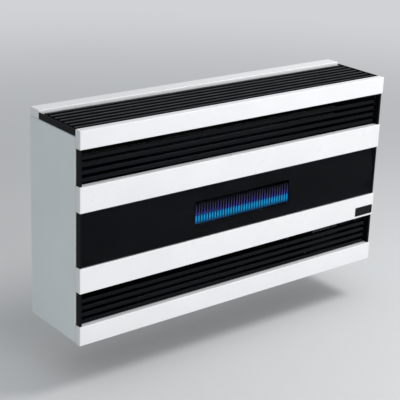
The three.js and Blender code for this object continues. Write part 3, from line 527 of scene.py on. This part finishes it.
# %% Edge rounding for the solids
ROUNDING = {
    "white_enamel": 0.6, "pale_grey_paint": 0.6, "black_enamel": 0.5, "black_gloss": 0.5,
    "black_plastic": 0.5, "red_plastic": 0.6, "cast_aluminium": 1.2, "badge_plastic": 0.35,
    "brass": 0.4, "tinted_glass": 0.4,
}
SMALL_ROUNDING = 0.3
BENT_TUBES = ("thermocouple", "pilot_tube", "ignition_lead", "thermostat_bulb", "gas_pipe")
SMALLEST_EDGE = math.radians(32)
FLAT_ENOUGH = math.radians(0.5)
WELD_GAP = 0.02 * MM


def weld_smooth(piece):
    for face in piece.data.polygons:
        face.use_smooth = True
    weld = piece.modifiers.new("weld", "WELD")
    weld.merge_threshold = WELD_GAP


def keep_faces_flat(piece):
    weighted = piece.modifiers.new("flat_faces", "WEIGHTED_NORMAL")
    weighted.keep_sharp = False


def soften(piece, width):
    weld_smooth(piece)
    flatten = piece.modifiers.new("flatten", "DECIMATE")
    flatten.decimate_type = "DISSOLVE"
    flatten.angle_limit = FLAT_ENOUGH
    bevel = piece.modifiers.new("round_edges", "BEVEL")
    bevel.width = width
    bevel.segments = 2
    bevel.limit_method = "ANGLE"
    bevel.angle_limit = SMALLEST_EDGE
    bevel.harden_normals = False
    keep_faces_flat(piece)


def smooth_tube(piece):
    """The small tubes are six-sided solids: subdivision makes them round."""
    weld_smooth(piece)
    round_off = piece.modifiers.new("round_off", "SUBSURF")
    round_off.levels = round_off.render_levels = 2


slots = {row["node"]: row["material_slot"] for row in frame["record"]["subparts"]}
own_finish = {
    # back and side panels: finishes with painted shade on their inward faces
    "back_panel": back_panel_zinc_painted_shade,
    "side_panel_left": side_panel_painted_shade,
    "side_panel_right": side_panel_painted_shade,
    "window_mask": printed_mask,
}
for node, piece in nodes.items():
    piece.data.materials.clear()
    piece.data.materials.append(own_finish.get(node, finishes[slots[node]]))
    if node in BENT_TUBES:
        smooth_tube(piece)
    else:
        soften(piece, ROUNDING.get(slots[node], SMALL_ROUNDING) * MM)
print("softened", len(nodes), "solids")


# %% [markdown]
# ## Helpers for new pieces
# New pieces are built with bmesh, the mesh editor's own kernel. Each one rides on the body that it is
# fixed to and names the finish that it wears. Most of them are a row of rings with a skin over them.

# %% New piece helpers
SAME_PLACE = 0.001 * MM  # corners nearer than this are one


def add_piece(name, mesh, slot, body="heater", material=None):
    piece = bpy.data.objects.new(name, mesh)
    bpy.context.scene.collection.objects.link(piece)
    piece.data.materials.append(material or finishes[slot])
    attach(piece, body)
    return piece


def mesh_from(name, build, closed=True):
    mesh = bpy.data.meshes.new(name)
    kit = bmesh.new()
    build(kit)
    if closed:
        bmesh.ops.remove_doubles(kit, verts=kit.verts, dist=SAME_PLACE)
        bmesh.ops.recalc_face_normals(kit, faces=kit.faces)
    kit.to_mesh(mesh)
    kit.free()
    for face in mesh.polygons:
        face.use_smooth = True
    return mesh


def around(count):
    """The angles of equal steps round a full circle."""
    return [2 * math.pi * i / count for i in range(count)]


def skin(kit, rings):
    """Joins each closed ring of corners to the next with quads."""
    for below, above in zip(rings, rings[1:]):
        for i in range(len(below)):
            j = (i + 1) % len(below)
            kit.faces.new((below[i], below[j], above[j], above[i]))


print("helpers ready")

# %% [markdown]
# ## Folded and enamelled sheet
# The bands, the side panels and the rear rail are shallow trays of 1.5 mm steel, and in the photograph their
# rolled edges catch the light as a fine bright line. The solids have square folds, so rolled trays stand in
# for them. Each is drawn as flat faces that meet at the folds; the folds are bevelled to the roll's radius,
# and Solidify gives the sheet its thickness, inwards.

# %% Folded sheet
SHEET = 1.5 * MM
ROLL = 2.4 * MM
SIDE_ROLL = 5 * MM
FOLD_ANGLE = math.radians(30)
ROLL_STEPS = 5


def folded_sheet(kit, faces, inside, roll):
    """Flat faces, given by their corners, joined at their common edges, which are then rolled."""
    for corners in faces:
        kit.faces.new([kit.verts.new(corner) for corner in corners])
    bmesh.ops.remove_doubles(kit, verts=kit.verts, dist=SAME_PLACE)
    for face in kit.faces:
        face.normal_update()
        if face.normal.dot(face.calc_center_median() - inside) < 0:
            face.normal_flip()
    shared = [edge for edge in kit.edges if len(edge.link_faces) == 2]
    folds = [edge for edge in shared if edge.calc_face_angle() > FOLD_ANGLE]
    bmesh.ops.bevel(
        kit, geom=folds, offset=roll, segments=ROLL_STEPS, profile=0.5, affect="EDGES", clamp_overlap=True)


def rolled(node, faces, roll=ROLL):
    """A rolled tray that takes the place of a square one."""
    low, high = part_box(node)
    name = "rolled_" + node
    mesh = mesh_from(name, lambda kit: folded_sheet(kit, faces, (low + high) / 2, roll), closed=False)
    tray = add_piece(name, mesh, slots[node], material=own_finish.get(node))
    sheet = tray.modifiers.new("sheet", "SOLIDIFY")
    sheet.thickness = SHEET
    sheet.offset = -1
    keep_faces_flat(tray)
    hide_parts(node)
    return tray


print("roll radius:", ROLL / MM, "mm")

# %% White bands
BAND_REAR = -0.2121  # upper and lower folds stop in front of the frame's plate


def white_band(node):
    """A tray open to the rear, whose ends reach further back than its folds."""
    low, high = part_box(node)
    rear_top = high.y if node == "top_band" else BAND_REAR
    steps = [
        (low.y, low.z), (low.y, high.z), (rear_top, high.z),
        (high.y, high.z), (high.y, low.z), (BAND_REAR, low.z)]
    left, right = ([(x, y, z) for y, z in steps] for x in (low.x, high.x))
    folds = [(left[i], left[j], right[j], right[i]) for i, j in ((0, 1), (1, 2), (5, 0))]
    return rolled(node, [left, right, *folds])


bands = [white_band(node) for node in ("bottom_band", "lower_band", "upper_band", "top_band")]
print("bands:", [band.name for band in bands])


# %% Rear rail and side panels
FRONT_RETURN = 7.8 * MM
BEZEL_LIP = 7.7 * MM  # the recess moulding's rim behind the right panel, past the opening
CHEEK_ROLL = 1.2 * MM


def rail():
    """A tray open to the floor."""
    low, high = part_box("top_rail")
    rim = [(low.x, low.y), (high.x, low.y), (high.x, high.y), (low.x, high.y)]
    top = [(x, y, high.z) for x, y in rim]
    foot = [(x, y, low.z) for x, y in rim]
    rolled("top_rail", [top, *((top[i], top[i - 1], foot[i - 1], foot[i]) for i in range(4))])


def cheek(node, sign):
    """The grille's end: an upright sheet on a flat foot, which covers the side panel's fold."""
    low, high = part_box(node)
    outer, inner = (high.x, low.x) if sign > 0 else (low.x, high.x)
    near, far = (outer, low.y, low.z), (outer, high.y, low.z)
    upright = (near, far, (outer, high.y, high.z), (outer, low.y, high.z))
    foot = (near, far, (inner, high.y, low.z), (inner, low.y, low.z))
    rolled(node, [upright, foot], CHEEK_ROLL)


def side_panel(node, sign, opening=None):
    """A tray open to the middle and the wall, with a narrow return at the front."""
    low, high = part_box(node)
    outer, inner = (high.x, low.x) if sign > 0 else (low.x, high.x)
    front = outer - sign * FRONT_RETURN
    corners = [(low.y, low.z), (high.y, low.z), (high.y, high.z), (low.y, high.z)]
    rim = [(outer, y, z) for y, z in corners]
    if opening:
        (y0, z0), (y1, z1) = opening
        hole = [(outer, y, z) for y, z in ((y0, z0), (y1, z0), (y1, z1), (y0, z1))]
        side = [(rim[i - 1], rim[i], hole[i], hole[i - 1]) for i in range(4)]
    else:
        side = [rim]
    returns = [[(outer, low.y, low.z), (front, low.y, low.z), (front, low.y, high.z), (outer, low.y, high.z)]]
    for z in (low.z, high.z):
        edge = [(outer, low.y), (front, low.y), (inner, low.y), (inner, high.y), (outer, high.y)]
        returns.append([(x, y, z) for x, y in edge])
    rolled(node, side + returns, SIDE_ROLL)


bezel_low, bezel_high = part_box("control_bezel")
side_panel("side_panel_left", -1)
side_panel("side_panel_right", 1, (
    (bezel_low.y + BEZEL_LIP, bezel_low.z + BEZEL_LIP), (bezel_high.y - BEZEL_LIP, bezel_high.z - BEZEL_LIP)))
rail()
for node, sign in (("top_grille_end_left", -1), ("top_grille_end_right", 1)):
    cheek(node, sign)
print("recess opening:", [round((b - a) / MM) for a, b in zip(bezel_low, bezel_high)])

# %% [markdown]
# ## The flames
# A bar burner carries one blade of blue flame on each slot. A gas flame has a cyan root where the gas burns
# with its own air, and a violet tip that fades out. Each blade is a thin, closed teardrop; its colour and
# its strength follow the height above the burner, so one material serves the whole row. Real
# flames are never all alike, so height and lean wander a little, from a seeded random source.

# %% Flame finish
BURNER_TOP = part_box("burner")[1].z
FLAME_FOOT = BURNER_TOP + 0.5 * MM


def flame_finish(name, top, stops, alphas):
    """Light that changes with height: stops are (share of the height, colour), alphas (share, opacity)."""
    material, tree, shader = principled(name, (0, 0, 0), 1.0)
    material.cycles.emission_sampling = "NONE"  # a glow to look at, too weak to light the room
    shader.inputs["Specular IOR Level"].default_value = 0.0
    shader.inputs["Emission Strength"].default_value = 1.0
    coordinates = tree.nodes.new("ShaderNodeTexCoord")
    split = tree.nodes.new("ShaderNodeSeparateXYZ")
    tree.links.new(coordinates.outputs["Object"], split.inputs["Vector"])
    share = remap(tree, split.outputs["Z"], 0, 1, FLAME_FOOT, FLAME_FOOT + top)
    tree.links.new(color_between(tree, share, stops), shader.inputs["Emission Color"])
    opacity = color_between(tree, share, [(place, (a, a, a)) for place, a in alphas])
    tree.links.new(opacity, shader.inputs["Alpha"])
    return material


BLADE_TALL = 46 * MM
STREAK_TALL = 61 * MM
VEIL_FADE = 30 * MM
blade_finish = flame_finish(
    "flame_blade", BLADE_TALL,
    stops=[
        (0.0, (0.04, 0.06, 0.16)), (0.12, (0.03, 0.24, 0.55)), (0.25, (0.02, 0.55, 1.0)),
        (0.45, (0.025, 0.48, 1.0)), (0.57, (0.03, 0.1, 0.42)), (0.68, (0.09, 0.08, 0.42)),
        (0.88, (0.07, 0.065, 0.26)), (1.0, (0.03, 0.03, 0.09))],
    alphas=[(0.0, 0.5), (0.1, 0.95), (0.5, 0.95), (0.85, 0.85), (1.0, 0.3)])
veil_finish = flame_finish(
    "flame_veil", VEIL_FADE,
    stops=[
        (0.0, (0.01, 0.02, 0.06)), (0.15, (0.001, 0.025, 0.1)), (0.6, (0.001, 0.03, 0.12)),
        (0.85, (0.002, 0.012, 0.08)), (1.0, (0.001, 0.002, 0.02))],
    alphas=[(0.0, 0.6), (0.2, 0.9), (0.7, 0.8), (1.0, 0.0)])
streak_finish = flame_finish(
    "flame_streak", STREAK_TALL,
    stops=[
        (0.0, (0.0, 0.0, 0.0)), (0.45, (0.07, 0.06, 0.24)), (0.7, (0.13, 0.12, 0.25)),
        (1.0, (0.1, 0.1, 0.17))],
    alphas=[(0.0, 0.0), (0.5, 0.8), (0.85, 0.8), (1.0, 0.3)])
print("flame foot at", round(FLAME_FOOT, 4))

# %% Flame blades
PORT_PITCH = 9 * MM
PORTS_EACH_SIDE = 23
BURNER_DEPTH = (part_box("burner")[0].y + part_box("burner")[1].y) / 2
BLADE_SIDES = 8
MOST_LEAN = 0.5 * MM
BLADE_PROFILE = ((0.0, 0.6), (0.08, 0.9), (0.25, 1.0), (0.45, 0.95), (0.65, 0.8), (0.82, 0.6), (0.94, 0.3))


def blade(kit, x, tall, half_width, half_depth, lean):
    """A closed teardrop: rings of a flattened circle that shrink towards the tip."""
    rings = []
    for share, size in BLADE_PROFILE:
        middle = x + lean * share * share
        rings.append([kit.verts.new((
            middle + half_width * size * math.cos(turn),
            BURNER_DEPTH + half_depth * size * math.sin(turn),
            FLAME_FOOT + tall * share)) for turn in around(BLADE_SIDES)])
    skin(kit, rings)
    kit.faces.new(list(reversed(rings[0])))
    tip = kit.verts.new((x + lean, BURNER_DEPTH, FLAME_FOOT + tall))
    for i in range(BLADE_SIDES):
        kit.faces.new((rings[-1][i], rings[-1][(i + 1) % BLADE_SIDES], tip))


def flame_row(kit, tall, half_width, half_depth, wander, seed):
    chance = random.Random(seed)
    for port in range(-PORTS_EACH_SIDE, PORTS_EACH_SIDE + 1):
        blade(
            kit, port * PORT_PITCH, tall * chance.uniform(1 - wander, 1), half_width, half_depth,
            chance.uniform(-MOST_LEAN, MOST_LEAN))


def flame_piece(name, build, finish):
    """A piece of flame: it is looked at, through the glass too, but no dark enamel mirrors it."""
    piece = add_piece(name, mesh_from(name, build), None, material=finish)
    piece.visible_diffuse = False
    piece.visible_glossy = False


def blade_row(kit):
    flame_row(kit, BLADE_TALL, half_width=2.0 * MM, half_depth=1.6 * MM, wander=0.07, seed=3)


def streak_row(kit):
    flame_row(kit, STREAK_TALL, half_width=1.0 * MM, half_depth=1.0 * MM, wander=0.06, seed=8)


flame_piece("flame_blades", blade_row, blade_finish)
flame_piece("flame_streaks", streak_row, streak_finish)
print("flames:", 2 * PORTS_EACH_SIDE + 1)

# %% [markdown]
# Between the blades the photograph shows a weaker blue, where neighbouring flames run together. A low,
# thin, closed veil behind the blades gives that, with a wavy top so that it doesn't end in a ruled line.

# %% Flame veil
VEIL_TALL = 28 * MM
VEIL_BACK = 2.4 * MM
VEIL_THICK = 0.6 * MM
VEIL_PAST_END = 2 * MM
VEIL_LOW, VEIL_WAVE = 0.84, 0.12  # shares of the height


def flame_veil(kit):
    chance = random.Random(5)
    half = PORTS_EACH_SIDE * PORT_PITCH + VEIL_PAST_END
    near = BURNER_DEPTH + VEIL_BACK
    far = near + VEIL_THICK
    count = 4 * PORTS_EACH_SIDE
    columns = []
    for i in range(count + 1):
        x = -half + 2 * half * i / count
        wave = 0.5 + 0.5 * math.cos(2 * math.pi * x / PORT_PITCH)
        top = FLAME_FOOT + VEIL_TALL * (VEIL_LOW + VEIL_WAVE * wave) * chance.uniform(0.97, 1.0)
        corners = ((near, FLAME_FOOT), (near, top), (far, top), (far, FLAME_FOOT))
        columns.append([kit.verts.new((x, y, z)) for y, z in corners])
    skin(kit, columns)
    kit.faces.new(columns[0])
    kit.faces.new(list(reversed(columns[-1])))


flame_piece("flame_veil", flame_veil, veil_finish)
print("veil:", round(VEIL_TALL / MM), "mm tall")

# %% [markdown]
# ## Screws
# Sheet-metal heaters are held together by small pan-head screws. Seen from the room there are none: they
# sit round the edge of the back panel, where a fitter finds them once the heater is off the wall. One
# cross-recess head is modelled by turning a profile, and copies of it go to every place.

# %% Screw head
HEAD_SIDES = 20
# (distance from the middle, rise), both in head radii
HEAD_PROFILE = ((1.0, -0.05), (1.0, 0.22), (0.94, 0.36), (0.78, 0.5), (0.5, 0.6), (0.24, 0.63))
CROWN = 0.63
RECESS = 0.275  # depth of the cross, also in head radii
ARM, ARM_REACH = 0.95, 0.6  # how narrow the cross's arms are, and how far out they go


def screw_head(kit, place, out, radius):
    """A low dome with a rim, and a cross recess pressed into its top."""
    out = Vector(out).normalized()
    side = out.orthogonal().normalized()
    other = out.cross(side)
    rings = []
    for share, rise in HEAD_PROFILE:
        ring = []
        for turn in around(HEAD_SIDES):
            direction = side * math.cos(turn) + other * math.sin(turn)
            pressed = max(abs(math.cos(turn)), abs(math.sin(turn))) > ARM and share < ARM_REACH
            height = rise - RECESS if pressed else rise
            ring.append(kit.verts.new(Vector(place) + direction * radius * share + out * radius * height))
        rings.append(ring)
    skin(kit, rings)
    kit.faces.new(list(reversed(rings[0])))
    middle = kit.verts.new(Vector(place) + out * radius * (CROWN - RECESS))
    for i in range(HEAD_SIDES):
        kit.faces.new((rings[-1][i], rings[-1][(i + 1) % HEAD_SIDES], middle))


def screws(name, places, out, radius):
    def build(kit):
        for place in places:
            screw_head(kit, place, out, radius)
    add_piece(name, mesh_from(name, build), "galvanised_steel")


def spread(start, end, count):
    return [start + (end - start) * i / (count - 1) for i in range(count)]


print("screw head:", HEAD_SIDES, "sides")

# %% Screw places
panel_low, panel_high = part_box("back_panel")
PANEL_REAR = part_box("wall_bracket")[0].y - 2 * MM  # the panel's plate, which the bracket keeps off the wall
EDGE_INSET = 12 * MM
CORNER_GAP = 80 * MM
HEAD_RADIUS = 4 * MM
rows = (panel_low.z + EDGE_INSET, panel_high.z - EDGE_INSET)
columns = (panel_low.x + EDGE_INSET, panel_high.x - EDGE_INSET)
rear_places = [(x, PANEL_REAR, z) for z in rows for x in spread(*columns, 8)]
between_rows = spread(rows[0] + CORNER_GAP, rows[1] - CORNER_GAP, 3)
rear_places += [(x, PANEL_REAR, z) for x in columns for z in between_rows]
screws("back_panel_screws", rear_places, (0, 1, 0), HEAD_RADIUS)
print("rear screws:", len(rear_places))

# %% [markdown]
# ## Pressed swages
# A metre of thin flat sheet drums and buckles, so the back panel has shallow swages pressed into it. Each
# is a low ridge with round ends, lofted here from a few outlines that shrink as they rise.

# %% Swages
SWAGE_RISE = 2.2 * MM
SWAGE_HALF = 8 * MM
SWAGE_STEPS = 10
SWAGE_PROFILE = ((0, -0.1), (0, 0.02), (0.25, 0.55), (0.5, 0.9), (0.7, 1.0))  # (inset, rise)
SWAGE_LENGTH_HALF = 130 * MM
SWAGE_SIDEWAYS = 280 * MM
SWAGE_HEIGHTS = (-120 * MM, -200 * MM, -280 * MM)


def pill(half_length, radius):
    """A long outline with round ends, as (along, across) points."""
    points = []
    for end in (1, -1):
        for i in range(SWAGE_STEPS + 1):
            turn = math.pi * (i / SWAGE_STEPS - 0.5) + (math.pi if end < 0 else 0)
            points.append((end * half_length + radius * math.cos(turn), radius * math.sin(turn)))
    return points


def swage(kit, x, z):
    rings = []
    for inset, rise in SWAGE_PROFILE:
        outline = pill(SWAGE_LENGTH_HALF, SWAGE_HALF * (1 - inset))
        y = PANEL_REAR + SWAGE_RISE * rise
        rings.append([kit.verts.new((x + along, y, z + across)) for along, across in outline])
    skin(kit, rings)
    kit.faces.new(rings[0])
    kit.faces.new(rings[-1])


def swages(kit):
    for x in (-SWAGE_SIDEWAYS, SWAGE_SIDEWAYS):
        for z in SWAGE_HEIGHTS:
            swage(kit, x, z)


add_piece("back_panel_swages", mesh_from("back_panel_swages", swages), "galvanised_steel")
print("swage:", round(2 * SWAGE_HALF / MM), "mm wide")

# %% [markdown]
# ## Controls
# The knob and the spark button sit in a moulded recess in the right side. The knob has a raised pointer, so
# it gets a painted line, which turns and presses in with it. Round it runs a scale of plain dots that grow
# with the heat: it follows the pointer's real travel, three quarters of a turn.

# %% Pointer line
knob_low, knob_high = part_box("control_knob")
KNOB_MIDDLE = (knob_low + knob_high) / 2
LINE_HALF = 0.7 * MM
LINE_SPAN = (6 * MM, 15 * MM)
LINE_SINK, LINE_RISE = 0.4 * MM, 0.15 * MM
LINE_ROUNDING = 0.12 * MM


def bar_between(kit, low, high, rounding):
    corners = bmesh.ops.create_cube(kit, size=1.0)["verts"]
    for vert in corners:
        vert.co = Vector(h if c > 0 else l for c, l, h in zip(vert.co, low, high))
    edges = {edge for vert in corners for edge in vert.link_edges}
    bmesh.ops.bevel(kit, geom=list(edges), offset=rounding, segments=2, profile=0.5, affect="EDGES")


def pointer_line(kit):
    low = (knob_high.x - LINE_SINK, KNOB_MIDDLE.y - LINE_HALF, KNOB_MIDDLE.z + LINE_SPAN[0])
    high = (knob_high.x + LINE_RISE, KNOB_MIDDLE.y + LINE_HALF, KNOB_MIDDLE.z + LINE_SPAN[1])
    bar_between(kit, low, high, LINE_ROUNDING)


add_piece("knob_pointer_line", mesh_from("knob_pointer_line", pointer_line), "white_enamel", body="knob")
print("knob middle:", [round(v, 4) for v in KNOB_MIDDLE])

# %% Scale of dots
DOTS = 10
DOT_CIRCLE = 26 * MM
DOT_RISE = 0.25 * MM
DOT_SIDES = 16
DOT_PROFILE = ((1.0, -0.4), (1.0, 0.6), (0.8, 1.0))
FIRST_DOT, DOT_GROWTH = 0.6 * MM, 0.12 * MM  # radius
TURN_RANGE = math.radians(270)
recess_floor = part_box("control_bezel")[0].x + SHEET


def dot(kit, turn, radius):
    """A low round pip on the recess's floor; turn is measured from straight up, towards the front."""
    y = KNOB_MIDDLE.y - DOT_CIRCLE * math.sin(turn)
    z = KNOB_MIDDLE.z + DOT_CIRCLE * math.cos(turn)
    rings = []
    for share, rise in DOT_PROFILE:
        rings.append([kit.verts.new((
            recess_floor + DOT_RISE * rise,
            y + radius * share * math.cos(angle),
            z + radius * share * math.sin(angle))) for angle in around(DOT_SIDES)])
    skin(kit, rings)
    kit.faces.new(rings[0])
    kit.faces.new(rings[-1])


def scale(kit):
    for i in range(DOTS):
        dot(kit, TURN_RANGE * i / (DOTS - 1), FIRST_DOT + DOT_GROWTH * i)


add_piece("scale_dots", mesh_from("scale_dots", scale), "white_enamel")
print("scale:", DOTS, "dots")

# %% [markdown]
# ## Grommet
# The gas supply comes up through a hole in the casing's floor. A rubber grommet keeps the pipe off the
# sheet's edge, and its thin lip closes the hole round the pipe. It is one turned profile.

# %% Grommet
union_low, union_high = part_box("gas_inlet_union")
PAN_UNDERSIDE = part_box("bottom_pan")[0].z
HOLE_RADIUS = 18 * MM
GROMMET_STEPS = 48
GROMMET_FIT = 0.1 * MM
NECK_RADIUS = HOLE_RADIUS - 0.3 * MM
RIM_RADIUS = 22 * MM
RIM_ROUND = 21 * MM
BEAD_RADIUS = 15.5 * MM
LIP_RADIUS, LIP_EDGE_RADIUS = 13 * MM, 8 * MM  # the thin lip, and its edge at the pipe


def grommet_profile():
    """(radius, height above the pan's underside) all round the section."""
    above = SHEET + GROMMET_FIT
    below = -GROMMET_FIT
    return (
        (LIP_EDGE_RADIUS, above), (LIP_EDGE_RADIUS, below + 0.4 * MM), (LIP_RADIUS, below),
        (BEAD_RADIUS, -1.6 * MM), (RIM_ROUND, -1.5 * MM), (RIM_RADIUS, below),
        (NECK_RADIUS, below), (NECK_RADIUS, above), (RIM_RADIUS, above),
        (RIM_ROUND, above + 1.6 * MM), (BEAD_RADIUS, above + 2 * MM), (LIP_RADIUS, above + 0.3 * MM))


def grommet(kit):
    middle = (union_low + union_high) / 2
    rings = []
    for turn in around(GROMMET_STEPS):
        rings.append([kit.verts.new((
            middle.x + radius * math.cos(turn), middle.y + radius * math.sin(turn), PAN_UNDERSIDE + height))
            for radius, height in grommet_profile()])
    skin(kit, rings + rings[:1])


add_piece("supply_grommet", mesh_from("supply_grommet", grommet), "black_plastic")
print("grommet at", round(PAN_UNDERSIDE, 4))
